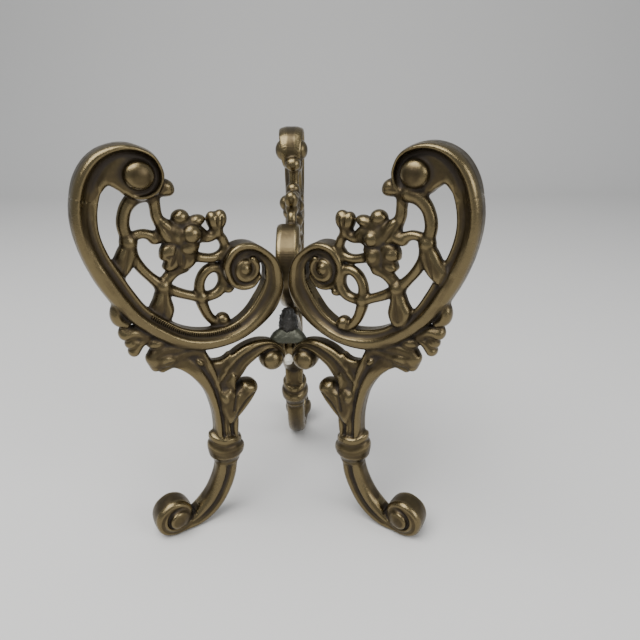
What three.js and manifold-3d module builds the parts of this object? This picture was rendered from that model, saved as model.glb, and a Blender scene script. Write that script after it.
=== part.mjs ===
// A three-legged cast-brass display stand: three identical scroll brackets, 120 degrees apart, whose inner
// volutes meet on the stand's axis. Millimetres, +Z up, feet on Z = 0.
// Each bracket is flat and upright. Its outlines are drawn in its own plane as [r, z]: the radius from the
// axis and the height.
import * as THREE from "three";
import { mergeVertices } from "three/addons/utils/BufferGeometryUtils.js";
import Module from "manifold-3d";

const wasm = await Module();
wasm.setup();

// Driving dimensions.
const GAP = 0.3; // clearance kept between neighbouring pieces
const AZIMUTHS = { left: 210, right: 330, rear: 90 }; // degrees, where each bracket points
const AXIS_BACK = 26.67; // the stand's axis lies this far in front of the middle of its bounding box
const SCROLL_THICK = 15; // the big scroll, face to face
const HEAD_THICK = 19; // the rolled head at the scroll's top
const SPRAY_THICK = 8; // stems and tendrils inside the scroll
const ARM_THICK = 11; // the arm that reaches to the axis
const LEG_THICK = 14;
const FOOT_THICK = 16;
// How far the thin pieces inside the scroll lie towards its back face: [r, across the bracket, z].
const SPRAY_SHIFT = [-0.4, -1.6, -0.5];
const TENDRIL_SHIFT = [-0.9, -3.2, -1.1];

const BRASS = { color: 0x6b5733, roughness: 0.42, metalness: 1 };
const FILLER = { color: 0x5c5e50, roughness: 0.7, metalness: 0.6 };
const PITCH = { color: 0x1c1814, roughness: 0.6, metalness: 0.2 };

// The stations of the big scroll, from the inner end of its head, over the top, round the back and along the
// base to the inner volute's eye: [outer edge r, z, inner edge r, z].
const SCROLL = [
  [92, 229, 87.5, 229.5],
  [88.5, 220, 85, 225.5],
  [81, 217.5, 82, 224.5],
  [73.5, 220.5, 77.5, 226.5],
  [69.6, 229, 76, 231],
  [73, 239.5, 78.5, 235.5],
  [82.5, 245.3, 84, 237.3],
  [93, 246, 91, 236],
  [103.5, 241.8, 97, 231],
  [112.2, 231.3, 101.3, 223],
  [117, 216, 104.3, 213],
  [117.3, 201.5, 105, 203],
  [114.3, 187, 102.3, 191],
  [109.3, 173.5, 97.4, 180],
  [103.5, 162.5, 91.8, 167.8],
  [96, 151.7, 86.3, 158.4],
  [86, 141.5, 78.5, 150.8],
  [75, 132.8, 69.4, 143.8],
  [63, 127.3, 60, 139.9],
  [50, 125.6, 49.2, 138.3],
  [36, 127.4, 38.1, 139.8],
  [22.2, 133.5, 27.8, 146],
  [11.2, 142.4, 20.9, 154.6],
  [5.5, 155.5, 16.6, 162.9],
  [7, 171.5, 15.8, 172],
  [13.5, 181.5, 19.5, 177.5],
  [24, 188.2, 26, 180.8],
  [34.5, 187.6, 32, 179],
  [41.2, 179, 35.3, 173.5],
  [40, 167, 33.5, 168.5],
  [34, 160.8, 29.5, 166],
  [26.5, 159.8, 25, 166],
  [20.8, 164, 21.5, 169.5],
];
// The stations at which one piece of the scroll gives way to the next.
const HEAD_END = 6.4;
const CROWN_END = 9.6;
const BACK_END = 15;
const BASE_END = 22.2;
const STATION_CUT = 0.014; // half a clearance, as a share of the way between two stations

const HEAD_EYE = { r: 82, z: 230.8, core: 7.5, radius: 5.4, halfDepth: 12 };
const VOLUTE_EYE = { r: 26.8, z: 172.5, core: 7.2, radius: 5, halfDepth: 9 };
const ARM_EYE = { r: 13.8, z: 109.4, core: 5.4, radius: 6.4, halfDepth: 7.8 };
const EYE_CORE_DEPTH = 0.7; // an eye's core, as a share of its scroll's thickness

// The arm's stations, from the leg, over the arch and round its rolled tip: [upper r, z, lower r, z].
const ARM = [
  [51.5, 108.5, 41.5, 96.5],
  [45.5, 115, 36.5, 101.5],
  [38.5, 120.5, 32.5, 106.8],
  [30, 124, 27.3, 110.8],
  [21, 124.4, 21.3, 113.8],
  [12, 121.5, 15, 115.5],
  [6, 115.5, 10.5, 112.8],
  [4.6, 108, 9.5, 109.3],
  [8, 101.8, 11.5, 105.5],
];

// The lower leg's stations, from the collar down to the rolled foot: [inner edge r, z, outer edge r, z].
const SHIN = [
  [42, 43.5, 56.5, 43.5],
  [43.8, 32, 58.6, 34.5],
  [47.8, 21.8, 61.8, 27.2],
  [53.2, 12.5, 66, 20.6],
  [60.5, 4.8, 71, 16.5],
  [70, 0.6, 76.5, 13.5],
  [80, 0, 80, 12],
];
const FOOT = { r: 88.5, z: 12.4, radius: 12.6, eyeR: 86, eyeZ: 13.4, eye: 5, eyeDepth: 10 };

// The ring round the leg: its belly as [radius, z], a little flattened from face to face.
const COLLAR = {
  r: 48.5,
  bottom: 43.8,
  top: 65.7,
  flatten: 0.86,
  belly: [[8, 43.8], [11.2, 48.5], [11.8, 53], [9.8, 58.5], [10.4, 62.5], [8.2, 65.7]],
};

// The filling between the arms and the scrolls, and the dark plug that stands on it.
const WEB = { reach: 24, waist: 8.5, hollow: 9.8, spread: 16, shoulder: 22, bottom: 117.5, top: 124.5 };
const PLUG = { foot: 7, tip: 4.5, height: 16 };

// ---- Solids ----

// A closed three.js geometry as a manifold-3d solid.
function solid(geometry) {
  const bare = new THREE.BufferGeometry().setAttribute("position", geometry.getAttribute("position"));
  if (geometry.index) bare.setIndex(geometry.index);
  const merged = mergeVertices(bare, 1e-4);
  const triVerts = new Uint32Array(merged.index.array);
  const vertProperties = merged.attributes.position.array;
  return new wasm.Manifold(new wasm.Mesh({ numProp: 3, vertProperties, triVerts }));
}

const join = (solids) => solids.reduce((a, b) => a.add(b));

// An outline in the bracket's plane, thickened to both faces with eased edges, and grown by a clearance.
function plate(points, thickness, ease, grow) {
  const outline = new THREE.Shape(points);
  const geometry = new THREE.ExtrudeGeometry(outline, {
    depth: thickness - 2 * ease + 2 * grow,
    bevelThickness: ease,
    bevelSize: ease,
    bevelOffset: grow - ease,
    bevelSegments: 1,
    steps: 1,
  });
  geometry.translate(0, 0, ease - grow - thickness / 2);
  geometry.rotateX(Math.PI / 2);
  return solid(geometry);
}

// A closed smooth outline through a few corner points.
function leafPoints(corners, samples = 2) {
  const curve = new THREE.CatmullRomCurve3(corners.map(([r, z]) => new THREE.Vector3(r, z, 0)), true);
  const points = curve.getPoints(corners.length * samples).slice(0, -1);
  return points.map((point) => new THREE.Vector2(point.x, point.y));
}

const leaf = (corners, thickness, ease, grow) => plate(leafPoints(corners), thickness, ease, grow);

// Cross-sections, from the near edge to the far edge of one face: [share of the width, share of half the
// depth].
const CHANNEL = [
  [0, 0.5], [0.1, 0.78], [0.3, 0.98], [0.5, 1], [0.66, 0.72], [0.82, 0.58], [0.92, 0.62], [1, 0.5],
];
const HOOD = [
  [0, 0.55], [0.1, 0.88], [0.28, 1], [0.4, 0.78], [0.6, 0.48], [0.82, 0.4], [0.92, 0.42], [1, 0.36],
];
const ROUNDED = [[0, 0.45], [0.24, 1], [0.76, 1], [1, 0.45]];

// A bar whose two edges run along two curves, with the same section on both faces and square ends.
// Each station gives a point on the near edge and one on the far edge: [near r, z, far r, z].
function bar(stations, from, to, section, thickness, samples, grow) {
  const edge = (k) => new THREE.SplineCurve(stations.map((s) => new THREE.Vector2(s[k], s[k + 1])));
  const [nearEdge, farEdge] = [edge(0), edge(2)];
  const around = [...section.map(([share, depth]) => [share, -depth]), ...section.toReversed()];
  const positions = [];
  for (let i = 0; i <= samples; i++) {
    const t = (from + ((to - from) * i) / samples) / (stations.length - 1);
    const [near, far] = [nearEdge.getPoint(t), farEdge.getPoint(t)];
    const swell = grow / near.distanceTo(far);
    for (const [share, depth] of around) {
      const point = near.clone().lerp(far, share + (2 * share - 1) * swell);
      positions.push(point.x, depth * (thickness / 2 + grow), point.y);
    }
  }
  const count = around.length;
  const ring = around.map(([share, depth]) => new THREE.Vector2(share * 10, depth * 10));
  const cap = THREE.ShapeUtils.triangulateShape(ring, []);
  const last = samples * count;
  const index = [];
  for (let i = 0; i < samples; i++) {
    for (let j = 0; j < count; j++) {
      const [a, b] = [i * count + j, i * count + ((j + 1) % count)];
      index.push(a, a + count, b, b, a + count, b + count);
    }
  }
  for (const [a, b, c] of cap) index.push(a, b, c, last + a, last + c, last + b);
  const geometry = new THREE.BufferGeometry().setIndex(index);
  geometry.setAttribute("position", new THREE.Float32BufferAttribute(positions, 3));
  return facingOut(geometry);
}

// A closed geometry's solid, turned inside out where its faces point inwards.
function facingOut(geometry) {
  const made = solid(geometry);
  if (made.volume() > 0) return made;
  const { array } = geometry.index;
  for (let i = 0; i < array.length; i += 3) [array[i], array[i + 1]] = [array[i + 1], array[i]];
  return solid(geometry);
}

// A stretch of the big scroll between two stations, stopped just short of each by half a clearance.
function stretch(from, to, section, thickness, samples, grow) {
  return bar(SCROLL, from + STATION_CUT, to - STATION_CUT, section, thickness, samples, grow);
}

// A bar of even width along a smooth path, with square ends.
function stem(path, width, thickness, grow, samples = 2) {
  const curve = new THREE.SplineCurve(path.map(([r, z]) => new THREE.Vector2(r, z)));
  const last = path.length - 1;
  const stations = path.map((_, i) => {
    const normal = curve.getTangent(i / last).rotateAround(new THREE.Vector2(), Math.PI / 2);
    const middle = curve.getPoint(i / last);
    const [near, far] = [-1, 1].map((sign) => middle.clone().addScaledVector(normal, (sign * width) / 2));
    return [near.x, near.y, far.x, far.y];
  });
  return bar(stations, 0, last, ROUNDED, thickness, last * samples, grow);
}

// A round boss in the bracket's plane, standing out of both faces by its own half depth.
function boss(r, z, radius, halfDepth, grow) {
  const geometry = new THREE.SphereGeometry(radius + grow, 8, 5);
  geometry.rotateX(Math.PI / 2);
  geometry.scale(1, (halfDepth + grow) / (radius + grow), 1);
  geometry.translate(r, 0, z);
  return solid(geometry);
}

const ball = (r, z, radius, grow) => boss(r, z, radius, radius, grow);

// A drum whose axle is square to the bracket's plane.
function drum(r, z, radius, thickness, grow, sides = 16) {
  const turn = (2 * Math.PI) / sides;
  const point = (_, i) => new THREE.Vector2(r + radius * Math.cos(i * turn), z + radius * Math.sin(i * turn));
  return plate(Array.from({ length: sides }, point), thickness, 1.5, grow);
}

// ---- One bracket: each piece as a function of the clearance it is grown by ----

// The eye that a scroll rolls up to: a core drum with a round boss on both faces.
function eye({ r, z, core, radius, halfDepth }, thickness, sides, grow) {
  return drum(r, z, core, thickness * EYE_CORE_DEPTH, grow, sides).add(boss(r, z, radius, halfDepth, grow));
}

const BRACKET = {
  scroll_head: (g) =>
    join([stretch(0, HEAD_END, HOOD, HEAD_THICK, 9, g), eye(HEAD_EYE, HEAD_THICK, 10, g)]),
  scroll_crown: (g) => stretch(HEAD_END, CROWN_END, HOOD, SCROLL_THICK + 1, 5, g),
  scroll_back: (g) => stretch(CROWN_END, BACK_END, CHANNEL, SCROLL_THICK, 6, g),
  scroll_base: (g) => stretch(BACK_END, BASE_END, CHANNEL, SCROLL_THICK, 8, g),
  scroll_volute: (g) =>
    join([
      stretch(BASE_END, SCROLL.length - 1, CHANNEL, SCROLL_THICK, 13, g),
      eye(VOLUTE_EYE, SCROLL_THICK, 10, g),
    ]),

  beak_leaf: (g) =>
    leaf([[76, 224], [69, 227.2], [64.6, 222.5], [66, 219], [72, 218.3], [76, 220]], 10, 2, g).translate(
      SPRAY_SHIFT,
    ),
  flower: (g) =>
    join([
      stem([[76.4, 222], [76.5, 213], [75.5, 205], [69, 199]], 6.2, SPRAY_THICK, g),
      drum(60.5, 196.5, 8, 12, g, 10),
      boss(60.5, 198, 5.4, 9, g),
      ball(62.5, 208, 4.6, g),
      ball(54, 204.5, 4.2, g),
      leaf([[72, 210], [66, 202], [68, 195], [74, 199], [75.5, 205]], 8, 1.6, g),
      leaf([[66, 192], [72, 192.5], [75.5, 185], [74.5, 179], [68, 180.5]], 9, 1.6, g),
      leaf([[55, 190], [66, 190], [69, 180], [62, 177.5], [57, 182]], 10, 1.6, g),
    ]).translate(SPRAY_SHIFT),
  bud_link: (g) =>
    join([
      leaf([[40, 207.8], [46.5, 207], [48.4, 202], [43.5, 194], [39.5, 196], [36.6, 201.5]], 9, 1.2, g),
      stem([[41, 196], [47, 194], [56, 195]], 6.4, 9, g),
      stem([[42.5, 196], [39, 190], [39.5, 184], [45, 181.8], [58, 184]], 5.8, SPRAY_THICK, g),
    ]).translate(SPRAY_SHIFT),
  outer_tendril: (g) =>
    join([
      stem([[80.5, 220.5], [87, 218.5], [91.7, 213.5], [93.7, 205], [92, 196.5]], 6.6, SPRAY_THICK, g),
      stem([[92, 197.5], [86, 199.8], [79.8, 199]], 5.6, SPRAY_THICK, g),
      stem([[92, 196], [95.2, 189], [99, 183.5]], 7.2, SPRAY_THICK, g),
      ball(92, 196.5, 5, g),
    ]).translate(TENDRIL_SHIFT),
  lower_tendril: (g) =>
    join([
      stem(
        [[91, 192.5], [89.3, 186], [84.5, 178], [77, 169.8], [67, 163], [56, 159.2]],
        6.2, SPRAY_THICK, g,
      ),
      stem([[77, 169], [70, 176.5], [63.5, 179.5]], 6.2, SPRAY_THICK, g),
      stem([[77, 168.5], [76.4, 161], [80.4, 152.4]], 7.8, SPRAY_THICK, g),
      ball(77, 169, 5, g),
    ]).translate(TENDRIL_SHIFT),
  loop_hook: (g) =>
    join([
      stem([[55.5, 161], [47, 159.8], [41.5, 166], [42.2, 173], [47, 175.2]], 6, SPRAY_THICK, g),
      stem(
        [[45, 175.4], [51.5, 174], [56, 167.5], [55.6, 158], [53.5, 148.5], [47, 141.5]],
        6, SPRAY_THICK, g,
      ),
      ball(43.8, 142.4, 4.8, g),
    ]).translate(TENDRIL_SHIFT),

  heel_leaf: (g) =>
    leaf(
      [[73.5, 131], [80.5, 138.5], [87, 140.5], [90.4, 129], [86.5, 119.5], [80, 119.2], [75.5, 122]],
      12, 2, g,
    ),
  heel_bud: (g) =>
    leaf(
      [[90, 143.5], [96, 152], [102, 158], [103.8, 147], [101.5, 139.5], [97, 132], [92.5, 136.5]],
      10, 1.2, g,
    ),

  leg_arm: (g) =>
    join([bar(ARM, 0, ARM.length - 1, ROUNDED, ARM_THICK, 10, g), eye(ARM_EYE, ARM_THICK, 8, g)]),
  leg_fork: (g) =>
    leaf(
      [
        [39.8, 66], [41, 82], [42.5, 93], [50, 107], [50.5, 115.5], [55.5, 120.5], [57.5, 127], [67.5, 131],
        [74, 132.5], [76, 124], [68.5, 114], [60.5, 100.5], [56.6, 86], [54.6, 66],
      ],
      LEG_THICK, 2, g,
    ),
  leg_leaf: (g) =>
    leaf([[42, 76], [33, 82.5], [26.6, 91.5], [28, 96.5], [35.5, 98], [44, 93]], 15, 2.4, g),
  leg_collar: (g) => collar(g),
  shin: (g) => bar(SHIN, 0, SHIN.length - 1, ROUNDED, LEG_THICK, 7, g),
  foot_scroll: (g) =>
    join([
      drum(FOOT.r, FOOT.z, FOOT.radius, FOOT_THICK, g),
      boss(FOOT.eyeR, FOOT.eyeZ, FOOT.eye, FOOT.eyeDepth, g),
    ]),
};

// The ring round the leg, with its full round belly and a smaller neck above and below.
function collar(grow) {
  const { r, bottom, top, flatten, belly } = COLLAR;
  const middle = (bottom + top) / 2;
  const swell = ([radius, z]) => new THREE.Vector2(radius + grow, z + Math.sign(z - middle) * grow);
  const rim = belly.map(swell);
  const profile = [new THREE.Vector2(0, bottom - grow), ...rim, new THREE.Vector2(0, top + grow)];
  const geometry = new THREE.LatheGeometry(profile, 12);
  geometry.rotateX(Math.PI / 2);
  geometry.scale(1, flatten, 1);
  geometry.translate(r, 0, 0);
  return solid(geometry);
}

// The largest body of a solid, which drops the splinters that a cut leaves.
const largest = (cut) => cut.decompose().reduce((a, b) => (a.volume() > b.volume() ? a : b));

// Every piece of a bracket, each cut back from the pieces named before it, and its feet trimmed flat.
function bracketSolids() {
  const floor = solid(new THREE.BoxGeometry(400, 400, 60).translate(0, 0, -30));
  const done = {};
  const grown = [];
  for (const [name, make] of Object.entries(BRACKET)) {
    const trimmed = grown.reduce((piece, other) => piece.subtract(other), make(0)).subtract(floor);
    done[name] = largest(trimmed);
    grown.push(make(GAP));
  }
  return done;
}

const pieces = bracketSolids();

// ---- The hub: a three-armed web between the arms and the scrolls, and a dark plug above it ----

// A star with an arm towards each bracket and hollow sides between them.
function hubStar({ reach, waist, hollow, spread, shoulder, bottom, top }) {
  const between = 180 / Object.keys(AZIMUTHS).length; // degrees from an arm to the middle of a hollow side
  const armEnd = [[-spread, reach], [spread, reach]];
  const hollowSide = [[between - shoulder, hollow], [between, waist], [between + shoulder, hollow]];
  const points = [];
  for (const azimuth of Object.values(AZIMUTHS).sort((a, b) => a - b)) {
    for (const [turn, radius] of [...armEnd, ...hollowSide]) {
      const angle = THREE.MathUtils.degToRad(azimuth + turn);
      points.push(new THREE.Vector2(radius * Math.cos(angle), radius * Math.sin(angle)));
    }
  }
  const settings = { depth: top - bottom, bevelEnabled: false };
  const star = new THREE.ExtrudeGeometry(new THREE.Shape(points), settings);
  return solid(star.translate(0, 0, bottom));
}

// An upright cone with its tip cut off, standing just clear of the web.
function plugCone({ foot, tip, height }) {
  const cone = new THREE.CylinderGeometry(tip, foot, height, 12).rotateX(Math.PI / 2);
  return solid(cone.translate(0, 0, WEB.top + GAP + height / 2));
}

// A solid turned about the stand's axis to each bracket's place.
function aroundAxis(piece) {
  return Object.values(AZIMUTHS).map((azimuth) => piece.rotate([0, 0, azimuth]));
}

function clearOfBrackets(blank, names) {
  const obstacles = names.flatMap((name) => aroundAxis(BRACKET[name](GAP)));
  return largest(obstacles.reduce((left, obstacle) => left.subtract(obstacle), blank));
}

const NEIGHBOURS = ["scroll_base", "scroll_volute", "leg_arm"];
const hubWeb = clearOfBrackets(hubStar(WEB), NEIGHBOURS);
const hubPlug = clearOfBrackets(plugCone(PLUG), NEIGHBOURS);

// ---- The scene graph ----

function meshOf(name, piece, finish) {
  const { vertProperties, triVerts } = piece.getMesh();
  const geometry = new THREE.BufferGeometry()
    .setAttribute("position", new THREE.BufferAttribute(vertProperties, 3))
    .setIndex(new THREE.BufferAttribute(triVerts, 1));
  geometry.computeVertexNormals();
  const mesh = new THREE.Mesh(geometry, new THREE.MeshStandardMaterial(finish));
  mesh.name = name;
  return mesh;
}

const stand = new THREE.Group();
stand.position.y = -AXIS_BACK;
stand.add(meshOf("hub_web", hubWeb, FILLER), meshOf("hub_plug", hubPlug, PITCH));
for (const [side, azimuth] of Object.entries(AZIMUTHS)) {
  const bracket = new THREE.Group();
  bracket.rotation.z = THREE.MathUtils.degToRad(azimuth);
  for (const [name, piece] of Object.entries(pieces)) {
    bracket.add(meshOf(`${side}_${name}`, piece, BRASS));
  }
  stand.add(bracket);
}

export default stand;
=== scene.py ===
"""A three-legged cast-brass display stand, sculpted and finished over its engineering frame.

Each bracket is one casting, drawn in its own upright plane in millimetres as [radius from the stand's axis,
height] and thickened to both faces. The casting is sculpted as a field that is negative inside the metal, so
that every leaf, stem and roll runs into its neighbour with a cast fillet, and is then meshed piece by piece.
"""

import logging
import math
from dataclasses import dataclass, field, replace
from enum import Enum

import bpy
import numpy as np
from mathutils import Euler, Matrix, Vector

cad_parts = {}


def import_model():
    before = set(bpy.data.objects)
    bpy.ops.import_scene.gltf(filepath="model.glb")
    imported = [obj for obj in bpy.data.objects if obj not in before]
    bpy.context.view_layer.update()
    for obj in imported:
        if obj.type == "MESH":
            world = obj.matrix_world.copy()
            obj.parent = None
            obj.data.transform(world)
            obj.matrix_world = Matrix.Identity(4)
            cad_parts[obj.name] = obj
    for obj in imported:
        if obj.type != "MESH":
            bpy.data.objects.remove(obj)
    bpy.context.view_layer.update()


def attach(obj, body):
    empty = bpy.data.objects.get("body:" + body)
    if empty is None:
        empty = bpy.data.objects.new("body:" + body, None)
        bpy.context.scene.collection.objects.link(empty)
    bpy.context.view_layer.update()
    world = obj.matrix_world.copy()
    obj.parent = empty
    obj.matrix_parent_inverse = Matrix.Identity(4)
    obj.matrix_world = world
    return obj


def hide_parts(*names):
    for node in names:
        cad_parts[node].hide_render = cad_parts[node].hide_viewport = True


log = logging.getLogger("stand")

Plane = tuple[float, float]
Triple = tuple[float, float, float]
Path2D = list[tuple[float, ...]]  # rows of r, z and half the width there
Window = tuple[slice, slice]
Station = tuple[float, float, float, float]

MM = 0.001
AXIS_BACK = 26.67  # how far the stand's axis lies in front of the origin
AZIMUTHS = {"left": 210.0, "right": 330.0, "rear": 90.0}
CELL = 0.6  # side of one field cell
FAR = 6.0  # value that a field keeps away from its own shape
SEED = 11
WAVES = ((11.0, 0.13), (5.0, 0.07))  # the casting's unevenness, as (length, depth)
FINE_REACH, BROAD_REACH = 0.9, 2.4  # how far the two reliefs are blurred over
PARTING = 12.0  # how steeply the scroll's head and the rest are parted at their station
ANKLE = (5.6, 10.0)  # the station at which the shin gives way to the foot, and how steeply


class Slot(Enum):
    """Material slots of the record."""

    AGED = "aged_brass"
    RUBBED = "rubbed_brass"
    FILLER = "filler"
    PITCH = "pitch"


# ---------------------------------------------------------------- curves


def smooth_path(points: list[tuple[float, ...]], per: int = 8, closed: bool = False) -> np.ndarray:
    """Catmull-Rom samples through a list of points of any dimension.

    Args:
        points: The points that the curve passes through.
        per: Samples between one point and the next.
        closed: Whether the curve returns to its first point.

    Returns:
        One row per sample.
    """
    p = np.asarray(points, dtype=np.float64)
    if closed:
        p = np.vstack([p[-1:], p, p[:2]])
    else:
        p = np.vstack([2 * p[:1] - p[1:2], p, 2 * p[-1:] - p[-2:-1]])
    t = (np.arange(per) / per)[:, None]
    rows = []
    for a, b, c, d in zip(p[:-3], p[1:-2], p[2:-1], p[3:]):
        square, cube = 2 * a - 5 * b + 4 * c - d, 3 * b - a - 3 * c + d
        rows.append(0.5 * (2 * b + (c - a) * t + square * t**2 + cube * t**3))
    if not closed:
        rows.append(p[-2:-1])
    return np.vstack(rows)


def fuse(a: np.ndarray, b: np.ndarray, fillet: float) -> np.ndarray:
    """The union of two fields with a fillet of about that size where they meet."""
    if fillet <= 0:
        return np.minimum(a, b)
    h = np.clip(0.5 + 0.5 * (b - a) / fillet, 0, 1)
    return b + (a - b) * h - fillet * h * (1 - h)


def dip(x: np.ndarray, centre: float, width: float) -> np.ndarray:
    """A smooth bump of height 1 at centre that falls to 0 at width on either side."""
    u = np.clip(np.abs(x - centre) / width, 0, 1)
    return (1 - u * u) ** 2


def ramp(x: np.ndarray, low: float, high: float) -> np.ndarray:
    """A smooth step from 0 at low to 1 at high."""
    u = np.clip((x - low) / (high - low), 0, 1)
    return u * u * (3 - 2 * u)


# ---------------------------------------------------------------- the field


class Block:
    """A regular block of sample points in a bracket's own frame: radius, depth and height.

    Args:
        low: Its lowest corner.
        high: Its highest corner.
        cell: The distance between samples.
    """

    def __init__(self, low: Triple, high: Triple, cell: float) -> None:
        self.cell = cell
        self.low = np.array(low, dtype=np.float64)
        self.r, self.y, self.z = (np.arange(a, b + cell, cell, dtype=np.float32) for a, b in zip(low, high))
        self.shape = (len(self.r), len(self.y), len(self.z))

    def moved(self, r: float, y: float, z: float) -> "Block":
        """The same samples seen from a frame that is moved by that much."""
        made = Block.__new__(Block)
        made.cell, made.shape = self.cell, self.shape
        made.low = self.low - (r, y, z)
        made.r, made.y, made.z = self.r - np.float32(r), self.y - np.float32(y), self.z - np.float32(z)
        return made

    def window(self, points: np.ndarray, margin: float) -> Window:
        """The slices in r and z that hold these points of the plane and a margin round them."""
        out = []
        for values, axis in zip((points[:, 0], points[:, 1]), (self.r, self.z)):
            lo, hi = np.searchsorted(axis, [values.min() - margin, values.max() + margin])
            out.append(slice(int(lo), int(max(hi, lo + 1))))
        return out[0], out[1]

    def plane(self, win: Window) -> tuple[np.ndarray, np.ndarray]:
        """The r and z of every sample of that window of the plane."""
        return np.meshgrid(self.r[win[0]], self.z[win[1]], indexing="ij")


@dataclass
class Relief:
    """A shape over a window of the plane: its outline, and how far it stands out to either face."""

    win: Window
    outline: np.ndarray  # signed distance to its edge in the plane
    half: np.ndarray  # how far it stands out of the front face
    easing: float  # radius of its edges
    back: np.ndarray | None = None  # how far it stands out of the back face, if that differs


class Clay:
    """A field to which shapes are added. It is negative inside them."""

    def __init__(self, block: Block) -> None:
        self.block = block
        self.values = np.full(block.shape, FAR, dtype=np.float32)

    def add(self, win: Window, values: np.ndarray, fillet: float) -> None:
        """Fuses a field over a window of the plane with what is there."""
        part = (win[0], slice(None), win[1])
        self.values[part] = fuse(self.values[part], values.astype(np.float32), fillet)

    def relief(self, shape: Relief, fillet: float = 1.0) -> None:
        """Adds a shape that stands out of the plane to both faces."""
        y = self.block.y[None, :, None]
        back = shape.half if shape.back is None else shape.back
        side = (shape.outline + shape.easing)[:, None, :]
        face = np.abs(y) - np.where(y > 0, shape.half[:, None, :], back[:, None, :]) + shape.easing
        outer = np.hypot(np.maximum(side, 0), np.maximum(face, 0)) + np.minimum(np.maximum(side, face), 0)
        self.add(shape.win, outer - shape.easing, fillet)

    def tube(self, path: Path2D, depth: float, fillet: float = 1.0, lift: float = 0.0) -> None:
        """Adds a rod along a smooth path.

        Args:
            path: Its points, each (r, z, half its width there).
            depth: Half its depth, as a share of half its width.
            fillet: The fillet where it meets what is there.
            lift: Its distance from the middle of the casting.
        """
        self.add(*self.rod(path, depth, lift), fillet)

    def carve(self, path: Path2D, depth: float, fillet: float = 0.6, lift: float = 0.0) -> None:
        """Cuts a rod's shape away along a smooth path. The arguments are as for a tube."""
        win, values = self.rod(path, depth, lift)
        part = (win[0], slice(None), win[1])
        self.values[part] = -fuse(-self.values[part], values.astype(np.float32), fillet)

    def rod(self, path: Path2D, depth: float, lift: float) -> tuple[Window, np.ndarray]:
        """The window and the field of a rod along a smooth path."""
        line = smooth_path(path, 6)
        win = self.block.window(line, FAR + float(line[:, 2].max()))
        near = nearest(line, *self.block.plane(win))
        half = np.maximum(near.extra[0], 0.3)
        y = (self.block.y - lift)[None, :, None] / depth
        values = np.hypot(near.distance[:, None, :], y) - half[:, None, :]
        return win, values * min(1.0, 0.5 + 0.5 * depth)

    def boss(
        self,
        centre: Plane,
        radii: Plane,
        half: float,
        fillet: float = 1.0,
        turn: float = 0.0,
        lift: float = 0.0,
    ) -> None:
        """Adds an ellipsoid.

        Args:
            centre: Its middle in the plane.
            radii: Its radii in the plane.
            half: Half its depth.
            fillet: The fillet where it meets what is there.
            turn: How far its first radius is turned up from the r axis, in degrees.
            lift: Its distance from the middle of the casting.
        """
        reach = max(radii)
        corners = np.array([[centre[0] - reach, centre[1] - reach], [centre[0] + reach, centre[1] + reach]])
        win = self.block.window(corners, FAR)
        r, z = self.block.plane(win)
        c, s = math.cos(math.radians(turn)), math.sin(math.radians(turn))
        along, across = (r - centre[0]) * c + (z - centre[1]) * s, (z - centre[1]) * c - (r - centre[0]) * s
        y = (self.block.y - lift)[None, :, None]
        a, b, h = radii[0], radii[1], half
        scaled = np.sqrt((along / a)[:, None, :] ** 2 + (across / b)[:, None, :] ** 2 + (y / h) ** 2)
        slope = np.sqrt((along / a**2)[:, None, :] ** 2 + (across / b**2)[:, None, :] ** 2 + (y / h**2) ** 2)
        self.add(win, np.minimum(scaled * (scaled - 1) / np.maximum(slope, 1e-4), FAR), fillet)


@dataclass
class Nearest:
    """What the nearest point of a path is to each sample of a window."""

    distance: np.ndarray
    along: np.ndarray  # the sample of the path, with its fraction
    extra: list[np.ndarray]  # the path's further columns there


def nearest(line: np.ndarray, r: np.ndarray, z: np.ndarray) -> Nearest:
    """The nearest point of a polyline to each point of the plane.

    Args:
        line: One row per vertex: r, z and any further columns.
        r: The points' radii.
        z: The points' heights.
    """
    best = np.full(r.shape, np.inf)
    along = np.zeros(r.shape)
    for i, (a, b) in enumerate(zip(line[:-1], line[1:])):
        dr, dz = b[0] - a[0], b[1] - a[1]
        length = max(dr * dr + dz * dz, 1e-9)
        t = np.clip(((r - a[0]) * dr + (z - a[1]) * dz) / length, 0, 1)
        er, ez = r - (a[0] + t * dr), z - (a[1] + t * dz)
        d = er * er + ez * ez
        closer = d < best
        best = np.where(closer, d, best)
        along = np.where(closer, i + t, along)
    distance = np.sqrt(best)
    steps = np.arange(len(line))
    extra = [np.interp(along, steps, line[:, k]) for k in range(2, line.shape[1])]
    return Nearest(distance, along, extra)


def leaf_relief(
    block: Block,
    corners: list[Plane],
    half: float,
    easing: float,
    crown: float = 0.0,
    veins: list[list[Plane]] | None = None,
    vein: tuple[float, float] = (1.0, 0.8),
    both: bool = True,
) -> Relief:
    """A leaf or a lobe: a smooth closed outline, swollen in the middle, with veins sunk into its faces.

    Args:
        block: The block that it is drawn in.
        corners: Points on its outline, in order.
        half: Half its depth near the edge.
        easing: The radius of its edges.
        crown: How much further its middle stands out.
        veins: The paths of its veins.
        vein: A vein's half width and depth.
        both: Whether the back face has the veins too.
    """
    line = smooth_path(corners, 6, closed=True)
    ring = np.vstack([line, line[:1]])
    win = block.window(ring, FAR)
    r, z = block.plane(win)
    near = nearest(ring, r, z)
    inside = np.zeros(r.shape, dtype=bool)
    for a, b in zip(ring[:-1], ring[1:]):
        crosses = (a[1] > z) != (b[1] > z)
        inside ^= crosses & (r < (b[0] - a[0]) * (z - a[1]) / ((b[1] - a[1]) or 1e-9) + a[0])
    outline = np.where(inside, -near.distance, near.distance)
    depth = half + crown * (1 - np.exp(np.minimum(outline, 0) / 2.5))
    front = depth
    for path in veins or []:
        sunk = nearest(smooth_path(path, 5), r, z).distance
        front = front - vein[1] * dip(sunk, 0.0, vein[0] * 1.6)
    return Relief(win, outline, front, min(easing, half * 0.95), front if both else depth)


Profile = list[tuple[float, float]]


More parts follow.
